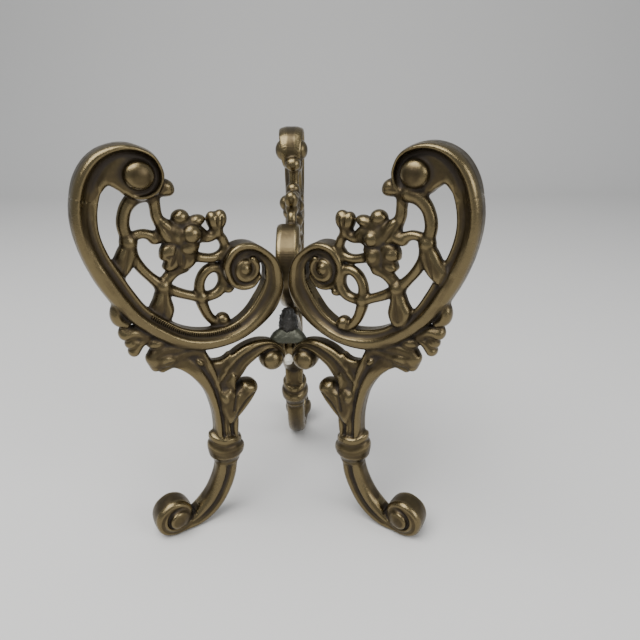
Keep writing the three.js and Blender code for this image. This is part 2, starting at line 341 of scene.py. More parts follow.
def band_relief(
    block: Block,
    stations: list[Station],
    sections: list[tuple[float, Profile]],
    half: list[Plane],
    easing: float,
) -> tuple[Relief, np.ndarray]:
    """A band whose two edges follow two rails, with a section that changes along it.

    Args:
        block: The block that it is drawn in.
        stations: Rows of near edge r, z and far edge r, z.
        sections: The stations at which a section holds, each with its rows of (share of the width, share of
            half the depth).
        half: Half the depth at some stations, as (station, depth).
        easing: The radius of its edges.

    Returns:
        The relief, and the station at each sample of its window.
    """
    per = 8
    rails = smooth_path(stations, per)
    mid = (rails[:, :2] + rails[:, 2:]) / 2
    width = np.hypot(*(rails[:, :2] - rails[:, 2:]).T) / 2
    across = (rails[:, :2] - rails[:, 2:]) / (2 * width[:, None])
    line = np.column_stack([mid, width, across])
    win = block.window(np.vstack([rails[:, :2], rails[:, 2:]]), FAR)
    r, z = block.plane(win)
    near = nearest(line, r, z)
    steps = np.arange(len(line))
    centre_r, centre_z = (np.interp(near.along, steps, mid[:, k]) for k in (0, 1))
    w, ar, az = near.extra
    offset = (r - centre_r) * ar + (z - centre_z) * az
    share = 0.5 - offset / (2 * w)
    station = near.along / per
    depth = np.zeros(r.shape)
    marks = [mark for mark, _ in sections]
    for i, (mark, profile) in enumerate(sections):
        weights = np.zeros(len(sections))
        weights[i] = 1
        weight = np.interp(station, marks, weights)
        depth += weight * np.interp(share, [s for s, _ in profile], [h for _, h in profile])
    depth *= np.interp(station, [s for s, _ in half], [h for _, h in half])
    beyond = np.maximum(near.distance - np.abs(offset), 0)
    outline = np.hypot(np.maximum(np.abs(offset) - w, 0), beyond) + np.minimum(np.abs(offset) - w, 0)
    return Relief(win, outline, depth, easing), station


# ---------------------------------------------------------------- meshing


EDGES = [(a, a | 1 << k, k) for k in range(3) for a in range(8) if not a >> k & 1]


def surface(values: np.ndarray, block: Block) -> tuple[np.ndarray, np.ndarray]:
    """The closed surface where a field is zero, as vertices in millimetres and outward quads.

    One vertex is put in each cell that the surface crosses, at the mean of the crossings on the cell's edges,
    and is then moved on to the surface. A quad joins the four cells round each edge that it crosses.
    """
    inside = values < 0
    corners = [tuple(slice(1, None) if c >> k & 1 else slice(None, -1) for k in range(3)) for c in range(8)]
    count = sum(inside[c].astype(np.uint8) for c in corners)
    cells = np.argwhere((count > 0) & (count < 8))
    number = np.full(count.shape, -1, dtype=np.int64)
    number[tuple(cells.T)] = np.arange(len(cells))
    corner = [values[tuple((cells + [c & 1, c >> 1 & 1, c >> 2 & 1]).T)] for c in range(8)]
    total, hits = np.zeros((len(cells), 3)), np.zeros(len(cells))
    for a, b, k in EDGES:
        fa, fb = corner[a], corner[b]
        cut = (fa < 0) != (fb < 0)
        t = np.where(cut, fa / np.where(cut, fa - fb, 1), 0)
        spot = np.array([a & 1, a >> 1 & 1, a >> 2 & 1], dtype=np.float64) + np.zeros((len(cells), 1))
        spot[:, k] += t
        total += np.where(cut[:, None], spot, 0)
        hits += cut
    vertices = settle(values, cells + total / hits[:, None])
    quads = []
    for k in range(3):
        a = inside[tuple(slice(None, -1) if m == k else slice(1, -1) for m in range(3))]
        b = inside[tuple(slice(1, None) if m == k else slice(1, -1) for m in range(3))]
        spots = np.argwhere(a != b)
        outward = a[tuple(spots.T)]
        u, v = [m for m in range(3) if m != k]
        if k == 1:
            u, v = v, u
        ring = []
        for du, dv in ((0, 0), (1, 0), (1, 1), (0, 1)):
            cell = spots.copy()
            cell[:, u] += du
            cell[:, v] += dv
            ring.append(number[tuple(cell.T)])
        ring = np.stack(ring, axis=1)
        quads.append(np.where(outward[:, None], ring, ring[:, ::-1]))
    return vertices * block.cell + block.low, np.vstack(quads)


def sample(values: np.ndarray, spots: np.ndarray) -> np.ndarray:
    """A field's values at points given in cells, interpolated."""
    spots = np.clip(spots, 0, np.array(values.shape) - 1.001)
    base = spots.astype(np.int64)
    f = spots - base
    out = np.zeros(len(spots))
    for c in range(8):
        shift = np.array([c & 1, c >> 1 & 1, c >> 2 & 1])
        weight = np.prod(np.where(shift, f, 1 - f), axis=1)
        out += weight * values[tuple((base + shift).T)]
    return out


def settle(values: np.ndarray, spots: np.ndarray, rounds: int = 2) -> np.ndarray:
    """Moves points on to a field's surface along its slope, by less than a cell."""
    start = spots
    for _ in range(rounds):
        slope = np.stack(
            [sample(values, spots + step) - sample(values, spots - step) for step in np.eye(3) * 0.7], axis=1
        ) / 1.4
        here = sample(values, spots)
        move = -here[:, None] * slope / np.maximum((slope**2).sum(axis=1), 0.05)[:, None]
        spots = start + np.clip(spots + 0.8 * move - start, -0.5, 0.5)
    return spots


def blurred(values: np.ndarray, reach: float, block: Block) -> np.ndarray:
    """A field blurred over a reach in millimetres, by two running means along each axis."""
    out = np.clip(values, -FAR, FAR).astype(np.float64)
    n = max(1, round(reach / block.cell))
    for axis in range(3):
        for _ in range(2):
            first = np.repeat(out.take([0], axis), n + 1, axis)
            last = np.repeat(out.take([-1], axis), n, axis)
            running = np.cumsum(np.concatenate([first, out, last], axis), axis)
            span = 2 * n + 1
            length = out.shape[axis]
            ahead, behind = running.take(range(span, span + length), axis), running.take(range(length), axis)
            out = (ahead - behind) / span
    return out


# ---------------------------------------------------------------- the casting


@dataclass
class Region:
    """One piece of the casting: the field of its own shapes, and what it stands for.

    Attributes:
        name: The piece's name, without its bracket.
        nodes: The frame's pieces that it replaces, without their bracket.
        slot: Its material slot.
        values: The field, over the whole block.
    """

    name: str
    nodes: list[str]
    slot: Slot
    values: np.ndarray = field(repr=False, default=None)


SCROLL: list[Station] = [
    (92, 229, 87.5, 229.5), (88.5, 220, 85, 225.5), (81, 217.5, 82, 224.5), (73.5, 220.5, 77.5, 226.5),
    (69.6, 229, 76, 231), (73, 239.5, 78.5, 235.5), (82.5, 245.3, 84, 237.3), (93, 246, 91, 236),
    (103.5, 241.8, 97, 231), (112.2, 231.3, 101.3, 223), (117, 216, 104.3, 213), (117.3, 201.5, 105, 203),
    (114.3, 187, 102.3, 191), (109.3, 173.5, 97.4, 180), (103.5, 162.5, 91.8, 167.8),
    (96, 151.7, 86.3, 158.4),
    (86, 141.5, 78.5, 150.8), (75, 132.8, 69.4, 143.8), (63, 127.3, 60, 139.9), (50, 125.6, 49.2, 138.3),
    (36, 127.4, 38.1, 139.8), (22.2, 133.5, 27.8, 146), (11.2, 142.4, 20.9, 154.6), (5.5, 155.5, 16.6, 162.9),
    (7, 171.5, 15.8, 172), (13.5, 181.5, 19.5, 177.5), (24, 188.2, 26, 180.8), (34.5, 187.6, 32, 179),
    (41.2, 179, 35.3, 173.5), (40, 167, 33.5, 168.5), (34, 160.8, 29.5, 166), (26.5, 159.8, 25, 166),
    (20.8, 164, 21.5, 169.5),
]  # outer edge r, z and inner edge r, z, from the rolled head over the back to the inner volute
CROWN_END = 9.6  # station at which the rubbed head gives way to the back

HOOD: Profile = [
    (0, 0.5), (0.04, 0.68), (0.1, 0.86), (0.18, 0.97), (0.27, 1), (0.33, 0.94), (0.4, 0.78), (0.5, 0.6),
    (0.65, 0.46),
    (0.85, 0.4), (1, 0.4),
]
CHANNEL: Profile = [
    (0, 0.42), (0.05, 0.62), (0.12, 0.79), (0.22, 0.92), (0.34, 0.99), (0.48, 1), (0.56, 0.93), (0.62, 0.8),
    (0.7, 0.66), (0.79, 0.57), (0.84, 0.6), (0.92, 0.62), (1, 0.54),
]
VOLUTE: Profile = [
    (0, 0.78), (0.07, 0.92), (0.16, 1), (0.38, 0.98), (0.47, 0.9), (0.57, 0.72), (0.7, 0.58), (0.9, 0.52),
    (1, 0.5),
]
COIL: Profile = [(0, 0.66), (0.12, 0.8), (0.3, 0.84), (0.45, 0.76), (0.62, 0.58), (0.8, 0.54), (1, 0.56)]


class Casting:
    """One bracket's casting: every shape on it, in its own plane.

    Args:
        block: The block that it is sculpted in.
    """

    def __init__(self, block: Block) -> None:
        self.block = block

    def scroll(self) -> list[Region]:
        """The big scroll, parted into its rubbed head and the rest."""
        clay = Clay(self.block)
        shape, station = band_relief(
            self.block,
            SCROLL,
            [(5.5, HOOD), (9.2, HOOD), (12.5, CHANNEL), (22, CHANNEL), (24, VOLUTE), (27.5, VOLUTE),
             (29.5, COIL)],
            [(0, 3.4), (1.5, 4.6), (3.2, 6.6), (5.5, 8.6), (7.5, 9), (10, 8), (12, 7.5), (26, 7.5),
             (28.5, 7), (32, 5.6)],
            1.3,
        )
        clay.relief(shape, 0)
        part = (shape.win[0], slice(None), shape.win[1])
        beyond = np.full(self.block.shape, -FAR, dtype=np.float32)
        beyond[part] = ((station - CROWN_END) * PARTING)[:, None, :]
        head = Clay(self.block)
        head.values = np.maximum(clay.values, beyond)
        floor = leaf_relief(
            self.block,
            [(78, 223), (76, 231), (80, 238), (89, 240.5), (97, 236), (102.4, 228), (101.6, 224),
             (97.4, 226.2), (93, 223.4), (89, 221)],
            4.4, 2.2, 0.6,
        )
        head.relief(floor, 2.4)
        head.boss((83.0, 230.4), (10.2, 9.0), 6.6, 2.6)
        for face in (-1, 1):
            head.boss((82.8, 230.6), (7.8, 7.3), 5.6, 1.4, lift=face * 6.0)
        rest = Clay(self.block)
        rest.values = np.maximum(clay.values, -beyond)
        rest.boss((28, 172), (9.8, 9.8), 6.0, 2.4)
        for face in (-1, 1):
            rest.boss((29.2, 173), (4.0, 4.0), 3.4, 1.2, lift=face * 4.6)
            rest.tube(self.coil((28.4, 172.4), 7.0, 4.4, 2.2, 1.3, 130, 480), 0.9, 1.4, lift=face * 4.7)
        return [
            Region("head", ["scroll_head", "scroll_crown"], Slot.RUBBED, head.values),
            Region("scroll", ["scroll_back", "scroll_base", "scroll_volute"], Slot.AGED, rest.values),
        ]

    @staticmethod
    def coil(
        centre: Plane, start: float, end: float, thick: float, thin: float, first: float, last: float
    ) -> list[tuple[float, ...]]:
        """The path of a spiral ridge.

        Args:
            centre: Its middle.
            start: Its first radius.
            end: Its last radius.
            thick: Half its first width.
            thin: Half its last width.
            first: Its first angle, in degrees.
            last: Its last angle.
        """
        rows = []
        for u in np.linspace(0, 1, 14):
            angle = math.radians(first + (last - first) * u)
            radius = start + (end - start) * u
            r, z = centre[0] + radius * math.cos(angle), centre[1] + radius * math.sin(angle)
            rows.append((r, z, thick + (thin - thick) * u))
        return rows

    def spray(self) -> Region:
        """The flower with its leaves and bud, and the stem that hangs it from the head."""
        clay = Clay(self.block.moved(-0.4, -1.6, -0.5))
        clay.relief(
            leaf_relief(
                clay.block,
                [(77, 223.5), (71, 227.6), (66, 226), (64.4, 221.6), (66.5, 218.6), (72, 218.4), (76, 219.5)],
                4.0, 3.4, 1.6, [[(65.5, 222), (70, 222.6), (76, 222.4)]], (0.7, 0.3),
            )
        )
        clay.tube(
            [(76, 222, 3.8), (75.6, 214, 3.0), (75.2, 208, 3.1), (72.2, 202, 3.5), (67, 197.5, 3.9)],
            1.12, 1.6,
        )
        leaf = leaf_relief(
            clay.block,
            [(75.6, 206), (71.5, 207.4), (66.6, 203), (64.8, 197), (68, 192.6), (73.4, 194), (76.2, 200)],
            3.8, 3.2, 1.6, [[(75, 206), (71.4, 200), (67.6, 194)]], (0.9, 0.7),
        )
        clay.relief(leaf, 1.0)
        self.flower(clay)
        self.leaves(clay)
        self.bud(clay)
        return Region("spray", ["flower", "bud_link", "beak_leaf"], Slot.AGED, clay.values)

    def flower(self, clay: Clay) -> None:
        """The flower's heart and its knobbly petals."""
        clay.boss((61, 196), (9.0, 8.6), 5.6, 1.6)
        clay.boss((58.8, 197.6), (5.7, 5.5), 5.2, 0.9, lift=4.4)
        clay.boss((60.2, 190.6), (6.2, 5.0), 4.8, 1.0, turn=-20, lift=2.6)
        clay.boss((65.4, 197.0), (4.6, 5.4), 4.4, 1.4, lift=2.2)
        clay.boss((60.4, 195.2), (4.4, 4.2), 3.8, 1.2, lift=-4.0)
        clay.boss((63.0, 206.4), (4.5, 5.0), 4.8, 1.4, turn=80)
        clay.boss((60.2, 202.4), (4.6, 3.8), 4.4, 1.4)
        clay.boss((54.8, 203.6), (5.6, 3.4), 4.6, 1.4, turn=-14)
        clay.boss((54.4, 197.0), (5.4, 4.2), 4.8, 1.4, turn=10)
        clay.boss((67, 201), (4.2, 3.8), 4.2, 1.4, turn=50)

    def leaves(self, clay: Clay) -> None:
        """The two broad lobed leaves below the flower."""
        left = leaf_relief(
            clay.block,
            [(54.6, 189), (60, 192.6), (66.6, 190.6), (68.8, 183.6), (66.4, 178.4), (61.4, 177.2),
             (57.2, 180), (56, 184.4)],
            4.0, 3.4, 1.4, [[(65.5, 192), (64.4, 186), (64.8, 180)]], (0.9, 0.7), both=False,
        )
        right = leaf_relief(
            clay.block,
            [(65, 191.6), (70, 194.4), (75.4, 191.4), (76.6, 185.6), (74.6, 183.4), (75.6, 179.4),
             (71.6, 177.4), (66.4, 180), (65, 186)],
            3.8, 3.0, 1.4, [[(67, 192), (69.4, 186), (72.6, 180)], [(70.4, 186.4), (76, 186.6)]],
            (0.8, 0.6), both=False,
        )
        clay.relief(left, 1.0)
        clay.relief(right, 1.0)
        clay.boss((61.6, 185.4), (5.0, 5.4), 4.4, 1.2, lift=-2.6)
        clay.boss((71.6, 187.4), (3.6, 3.2), 3.4, 1.2, turn=30, lift=-2.4)
        clay.boss((71, 180.6), (4.2, 2.8), 3.2, 1.2, turn=-20, lift=-2.2)

    def bud(self, clay: Clay) -> None:
        """The ribbed bud and the stems that join it to the flower and the volute."""
        clay.boss((41.0, 202.8), (4.3, 5.9), 4.8, 1.6, turn=14)
        clay.boss((44.6, 202.6), (3.9, 5.6), 4.6, 1.6, turn=-12)
        clay.boss((43, 197.6), (3.6, 4.4), 4.2, 1.2)
        for r in (38.6, 41.0, 43.2, 45.6):
            lean = (r - 42.4) * 0.32
            for face in (-1, 1):
                clay.carve(
                    [(r, 199.4, 0.4), (r + lean, 203, 0.55), (r + 1.4 * lean, 207.4, 0.4)],
                    1.0, 0.4, face * 4.4,
                )
        clay.tube([(43, 196, 3.2), (47.6, 194.0, 3.3), (52, 194.6, 3.5), (57, 195.6, 3.8)], 1.15, 1.6)
        clay.tube(
            [(42.8, 195.6, 2.9), (39.6, 191, 2.9), (38.9, 186.4, 3.0), (41.6, 182.8, 2.9), (47, 181.4, 2.8),
             (53, 182.4, 2.9), (58.4, 184.4, 3.2)],
            1.12, 1.2,
        )

    def tendrils(self) -> Region:
        """The tendrils that tie the spray to the scroll, and the loop that ends in a hook."""
        clay = Clay(self.block.moved(-0.9, -3.2, -1.1))
        clay.tube(
            [(80.6, 221.6, 4.6), (86.2, 219.4, 4.0), (91, 214.2, 3.5), (93.2, 206.6, 3.4),
             (92.6, 200.4, 3.5), (91.8, 196.4, 3.8)],
            1.08, 1.2,
        )
        clay.tube(
            [(92, 197.4, 3.2), (88.4, 199.6, 2.8), (83.6, 200.2, 2.7), (79, 198.4, 3.1), (75.4, 197.6, 3.5)],
            1.1, 1.0,
        )
        clay.boss((91.8, 196.6), (4.9, 4.9), 4.9, 1.0)
        clay.boss((78, 196.6), (3.6, 3.0), 3.8, 0.9)
        husk = leaf_relief(
            clay.block,
            [(88.6, 192.4), (92, 197.4), (96.8, 195), (100.6, 189), (105, 183), (101, 175.6), (94.4, 179.4),
             (89.8, 186)],
            3.9, 3.2, 1.0, [[(93, 194), (95, 188), (97, 180)]], (0.7, 0.45),
        )
        clay.relief(husk, 1.0)
        clay.tube(
            [(91.2, 194, 3.5), (90.2, 188, 3.1), (87.4, 182, 2.9), (83.2, 176.2, 2.9), (77.4, 170, 3.5),
             (70, 164.8, 3.1), (62.6, 161.4, 2.9), (55.6, 158.8, 3.5)],
            1.14, 1.0,
        )
        clay.tube([(77, 169, 3.8), (73.4, 173.8, 3.5), (69, 177.2, 3.5), (64.4, 179, 4.0)], 1.1, 1.0)
        clay.boss((76.8, 169.4), (4.9, 4.8), 4.9, 1.0)
        foot = leaf_relief(
            clay.block,
            [(73.8, 168.4), (80, 168.8), (83.4, 162.6), (86.4, 156.6), (84, 148.6), (76.4, 147),
             (72.2, 154), (73, 161.4)],
            3.8, 3.2, 1.2, [[(77, 166), (77.8, 160), (79.6, 152)]], (0.7, 0.45),
        )
        clay.relief(foot, 1.0)
        clay.tube(
            [(55.6, 159.4, 3.8), (50.6, 158.8, 3.1), (45.2, 160.4, 3.2), (41.6, 165, 3.4),
             (41.6, 170.8, 3.2), (44.2, 174.8, 3.1), (48.6, 175.6, 3.1), (53, 172.8, 3.1),
             (55.8, 167.4, 3.1), (56.2, 161, 3.5), (55.4, 155, 3.4), (53.4, 148.6, 3.1), (50.4, 143.6, 2.9),
             (46.4, 140.6, 3.2), (43.6, 141.6, 4.3)],
            1.1, 0.8,
        )
        clay.boss((55.6, 159.4), (4.3, 3.9), 4.4, 1.0)
        clay.boss((43.8, 142.4), (4.5, 4.4), 5.0, 0.8)
        clay.boss((38.8, 161.4), (3.4, 2.8), 4.2, 1.0)
        return Region("tendrils", ["outer_tendril", "lower_tendril", "loop_hook"], Slot.AGED, clay.values)

    def heel(self) -> Region:
        """The curled leaves outside the scroll's base."""
        clay = Clay(self.block)
        clay.tube([(70, 131, 4.0), (77, 131.4, 4.6), (84, 130.6, 4.6), (88.2, 127.6, 3.4)], 1.25, 1.0)
        clay.tube([(68, 127, 3.6), (75, 126, 4.2), (82, 124.6, 4.2), (86.4, 121.8, 3.2)], 1.3, 1.0)
        clay.tube([(72, 123.6, 2.6), (78, 121.8, 3.2), (83, 119.6, 2.6)], 1.4, 1.0)
        clay.boss((85.6, 127), (5.2, 6.6), 6.0, 1.2, turn=20)
        clay.boss((84, 136.6), (6.2, 4.0), 5.2, 1.4, turn=10)
        clay.tube([(99.6, 166.6, 1.6), (103, 160.6, 3.0), (103, 155, 3.4), (99.4, 151.6, 2.8)], 1.5, 1.2)
        clay.tube([(90, 142, 3.2), (95.4, 145.6, 3.8), (100.2, 145.6, 3.8)], 1.3, 0.9)
        clay.tube([(89, 140.4, 2.6), (94, 138.6, 3.4), (97.2, 134.4, 3.4)], 1.4, 0.9)
        clay.boss((97.4, 140.4), (4.6, 3.6), 4.8, 1.0, turn=-40)
        clay.boss((100.6, 147), (3.2, 3.6), 3.8, 0.9)
        clay.boss((80.6, 126.4), (7.6, 5.4), 7.0, 1.4, turn=12)
        for face in (-1, 1):
            clay.carve([(72, 122.4, 0.8), (79, 124.2, 1.1), (86.4, 122.6, 0.7)], 1.2, 0.8, face * 7.2)
            clay.carve([(72, 128.4, 0.8), (80, 130.2, 1.1), (88.4, 128.8, 0.7)], 1.2, 0.8, face * 7.0)
            clay.carve([(90.4, 141, 0.7), (95.4, 142, 0.9), (99.6, 139.6, 0.6)], 1.2, 0.8, face * 5.2)
        return Region("heel", ["heel_leaf", "heel_bud"], Slot.AGED, clay.values)

    def fork(self) -> Region:
        """The fluted upper leg, its outer branch to the heel and the leaf on its inner side."""
        clay = Clay(self.block)
        reed: Profile = [
            (0, 0.58), (0.08, 0.78), (0.2, 0.95), (0.32, 1), (0.43, 0.93), (0.53, 0.72), (0.63, 0.72),
            (0.76, 0.9), (0.9, 0.84), (1, 0.6),
        ]
        outer, _ = band_relief(
            self.block,
            [(56, 60, 47.5, 60), (55.6, 74, 47.6, 74), (56.8, 87, 48.4, 87), (60.4, 100, 49.6, 100.6),
             (66.6, 111, 52.6, 113.4), (73.6, 118.6, 56.2, 124), (80, 122.5, 60, 132)],
            [(0, reed)], [(0, 6.6), (2, 7), (4, 6.6), (5, 5.2), (6, 3.8)], 1.6,
        )
        inner, _ = band_relief(
            self.block,
            [(40.6, 60, 49, 60), (40.2, 70, 48.8, 74), (41.2, 82, 49.6, 87), (41, 92, 51.2, 98),
             (41.5, 97.5, 52.4, 107)],
            [(0, reed)], [(0, 6.6), (2, 7), (4, 6.2)], 1.6,
        )
        clay.relief(outer, 0)
        clay.relief(inner, 0.8)
        web = leaf_relief(
            self.block,
            [(44, 98), (40, 108), (38.6, 116), (41.6, 119.6), (45.4, 117.6), (49.6, 117.2), (53.8, 118.6),
             (57, 124), (61, 124), (58, 108), (52, 96)],
            3.8, 2.4, 0.6,
        )
        clay.relief(web, 1.6)
        clay.boss((46, 111.4), (3.4, 2.4), 5.4, 1.2, turn=-40)
        clay.boss((61.4, 119.6), (4.4, 2.8), 6.6, 1.4, turn=50)
        clay.boss((64, 127.6), (5, 4.2), 5.0, 2.0, turn=30)
        self.leg_leaf(clay)
        return Region("leg", ["leg_fork", "leg_leaf"], Slot.AGED, clay.values)

    def leg_leaf(self, clay: Clay) -> None:
        """The two-lobed leaf on the leg's inner side."""
        leaf = leaf_relief(
            self.block,
            [(48, 70), (40, 73.6), (33, 80), (27.6, 86.6), (24.6, 92.6), (27.6, 97.4), (34.4, 98.6),
             (39.2, 95.4), (44.4, 99.4), (51, 96), (53.4, 84)],
            5.6, 4.8, 2.8,
            [[(29.4, 90.6), (35.4, 86.4), (40.4, 80), (43, 75)], [(38.8, 97), (41.6, 91), (43.6, 82)]],
            (0.9, 0.9),
        )
        clay.relief(leaf, 1.0)
        clay.boss((48.4, 91.6), (4.6, 6.4), 9.0, 1.8, turn=-24)

    def arm(self) -> Region:
        """The arched arm that rolls to a ball at the stand's axis."""
        clay = Clay(self.block)
        grooved: Profile = [
            (0, 0.62), (0.08, 0.84), (0.18, 1), (0.28, 0.98), (0.38, 0.8), (0.46, 0.74), (0.56, 0.82),
            (0.7, 0.92), (0.86, 0.82), (1, 0.56),
        ]
        shape, _ = band_relief(
            self.block,
            [(51.5, 108.5, 41.5, 96.5), (45.5, 115, 36.5, 101.5), (38.5, 120.5, 32.5, 106.8),
             (30, 124, 27.3, 110.8), (21, 124.8, 21.3, 114.6), (12, 122, 15, 116.5),
             (5.6, 115.8, 10.5, 113.4), (4.2, 108.4, 8.6, 109.3), (7.4, 102.4, 10.4, 105.6),
             (13, 100.6, 14, 104.4)],
            [(0, grooved)], [(0, 5.4), (3, 5.6), (5, 5.2), (6.4, 4.2), (9, 3.2)], 1.3,
        )
        clay.relief(shape, 0)
        clay.boss((13.2, 109.2), (8.2, 8.0), 5.0, 1.6)
        for face in (-1, 1):
            clay.boss((13.4, 108.8), (7.3, 7.1), 5.6, 1.2, lift=face * 3.0)
        return Region("arm", ["leg_arm"], Slot.AGED, clay.values)

    def collar(self) -> Region:
        """The knop round the leg: a full belly under a lip that rises to the outer side."""
        clay = Clay(self.block)
        reach = np.array([[34.0, 40.0], [64.0, 70.0]])
        win = self.block.window(reach, 2.0)
        r, z = self.block.plane(win)
        y = self.block.y[None, :, None]
        dr = (r - 48.8)[:, None, :]
        angle = np.arctan2(y, dr)
        radius = np.hypot(dr, y / 0.86)
        rise = 1.6 + 3.0 * np.cos(angle) + 0.9 * np.cos(3 * angle)
        height = z[:, None, :] - rise * ramp(z[:, None, :], 46, 58) * 0.8
        knots = [40.5, 42, 43.5, 45, 48, 51, 53, 54.6, 56, 58, 60.5, 62]
        belly = [7.4, 8.4, 8.5, 9.4, 11.6, 12.3, 12.2, 11.5, 10.5, 10.9, 10.6, 8.4]
        profile = np.interp(height, knots, belly)
        body = radius - profile
        cap = np.abs(height - 51.2) - 10.6
        easing = 0.8
        beyond = np.hypot(np.maximum(body + easing, 0), np.maximum(cap + easing, 0))
        values = beyond + np.minimum(np.maximum(body, cap) + easing, 0) - easing
        clay.add(win, np.minimum(values * 0.9, FAR), 0)
        return Region("collar", ["leg_collar"], Slot.AGED, clay.values)

    def shin(self) -> list[Region]:
        """The fluted lower leg and the rolled foot."""
        clay = Clay(self.block)
        fluted: Profile = [
            (0, 0.56), (0.1, 0.8), (0.22, 0.96), (0.34, 0.98), (0.45, 0.8), (0.54, 0.8), (0.66, 1),
            (0.78, 0.98), (0.9, 0.82), (1, 0.58),
        ]
        shape, station = band_relief(
            self.block,
            [(42, 45, 56.5, 45), (43.6, 33, 58.4, 35.5), (47.4, 22.4, 61.8, 27.4), (53, 12.8, 66, 20.6),
             (60.5, 5, 71, 15.4), (70.5, 0.9, 77.2, 10.5), (81, 0.2, 83, 8.4), (91, 0.1, 88.6, 7.4),
             (98.4, 4, 94, 8.4), (101, 12.6, 95.6, 12.6), (98, 20.4, 93.4, 17.4), (90, 25.2, 88.8, 19.6),
             (82, 23.4, 84, 18.6), (77.6, 16.6, 81.6, 14.6), (79, 9.4, 83, 10.6)],
            [(0, fluted), (4, fluted), (6, [(0, 0.9), (0.3, 1), (0.7, 0.9), (1, 0.5)])],
            [(0, 6.8), (4, 7), (7, 8), (10, 8.2), (12, 7.2), (14, 6)], 2.4,
        )
        clay.relief(shape, 0)
        part = (shape.win[0], slice(None), shape.win[1])
        beyond = np.full(self.block.shape, -FAR, dtype=np.float32)
        beyond[part] = ((station - ANKLE[0]) * ANKLE[1])[:, None, :]
        shin = np.maximum(clay.values, beyond)
        foot = Clay(self.block)
        foot.values = np.maximum(clay.values, -beyond)
        foot.boss((88.6, 12.6), (11.9, 12.1), 11.2, 2.0)
        for face in (-1, 1):
            foot.carve(self.coil((86.6, 12.4), 8.6, 5.8, 1.3, 0.8, 176, -110), 1.6, 1.4, face * 9.0)
            foot.boss((86.4, 12.8), (4.9, 4.9), 4.2, 0.8, lift=face * 6.4)
        return [
            Region("shin", ["shin"], Slot.AGED, shin),
            Region("foot", ["foot_scroll"], Slot.RUBBED, foot.values),
        ]

    def groups(self) -> list[list[Region]]:
        """Every piece of the casting. Pieces that one shape is parted into are together."""
        return [
            self.scroll(), [self.spray()], [self.tendrils()], [self.heel()], [self.fork()], [self.arm()],
            [self.collar()], self.shin(),
        ]


@dataclass
class Molten:
    """The casting as one fused field, and the share of it that each region keeps.

    Attributes:
        block: The block it is sculpted in.
        groups: Its pieces, with the parts of one shape together.
        fillet: The fillet between one piece and the next.
        tuck: How far a piece runs on inside its neighbour.
        sink: How steeply it sinks below its neighbour's surface there.
    """

    block: Block
    groups: list[list[Region]]
    fillet: float = 1.8
    tuck: float = 1.8
    sink: float = 0.15

    def __post_init__(self) -> None:
        self.regions = [region for group in self.groups for region in group]
        shapes = [np.minimum.reduce([region.values for region in group]) for group in self.groups]
        whole = shapes[0]
        for values in shapes[1:]:
            whole = fuse(whole, values, self.fillet)
        floor = -self.block.z[None, None, :]
        self.whole = np.maximum(whole + self.unevenness(), floor)
        self.fine = blurred(self.whole, FINE_REACH, self.block)
        self.broad = blurred(self.whole, BROAD_REACH, self.block)

    def unevenness(self) -> np.ndarray:
        """The slight waviness of a sand casting, in millimetres."""
        rng = np.random.default_rng(SEED)
        total = np.zeros(self.block.shape, dtype=np.float32)
        axes = (self.block.r, self.block.y, self.block.z)
        for size, depth in WAVES:
            grid = rng.uniform(-1, 1, [int(len(axis) * self.block.cell / size) + 3 for axis in axes])
            for k, axis in enumerate(axes):
                spots = (axis - axis[0]) / size
                base = spots.astype(np.int64)
                f = spots - base
                f = (f * f * (3 - 2 * f)).reshape([-1 if m == k else 1 for m in range(3)])
                grid = grid.take(base, k) * (1 - f) + grid.take(base + 1, k) * f
            total += depth * grid
        return total

    def piece(self, index: int) -> tuple[np.ndarray, np.ndarray, np.ndarray, np.ndarray]:
        """One region's surface: vertices, quads, and the fine and the broad relief at each vertex."""
        others = [region.values for i, region in enumerate(self.regions) if i != index]
        other = others[0].copy()
        for values in others[1:]:
            np.minimum(other, values, out=other)
        share = (self.regions[index].values - other) / 2
        values = np.maximum(self.whole + self.sink * np.maximum(share, 0), share - self.tuck)
        vertices, quads = surface(values, self.block)
        spots = (vertices - self.block.low) / self.block.cell
        return vertices, quads, sample(self.fine, spots), sample(self.broad, spots)


def mesh_of(
    name: str, vertices: np.ndarray, quads: np.ndarray, layers: dict[str, np.ndarray]
) -> bpy.types.Mesh:
    """A smooth-shaded mesh from arrays in millimetres, with one float per vertex for each layer."""
    mesh = bpy.data.meshes.new(name)
    mesh.vertices.add(len(vertices))
    mesh.vertices.foreach_set("co", (vertices * MM).astype(np.float32).ravel())
    mesh.loops.add(quads.size)
    mesh.loops.foreach_set("vertex_index", quads.astype(np.int32).ravel())
    mesh.polygons.add(len(quads))
    mesh.polygons.foreach_set("loop_start", np.arange(0, quads.size, 4, dtype=np.int32))
    for layer, values in layers.items():
        mesh.attributes.new(layer, "FLOAT", "POINT").data.foreach_set("value", values.astype(np.float32))
    mesh.update(calc_edges=True)
    mesh.polygons.foreach_set("use_smooth", np.ones(len(quads), dtype=bool))
    return mesh


def place(azimuth: float) -> Matrix:
    """The turn and the shift from a bracket's own frame to the stand's."""
    return Matrix.Translation((0, -AXIS_BACK * MM, 0)) @ Matrix.Rotation(math.radians(azimuth), 4, "Z")


# ---------------------------------------------------------------- finishes


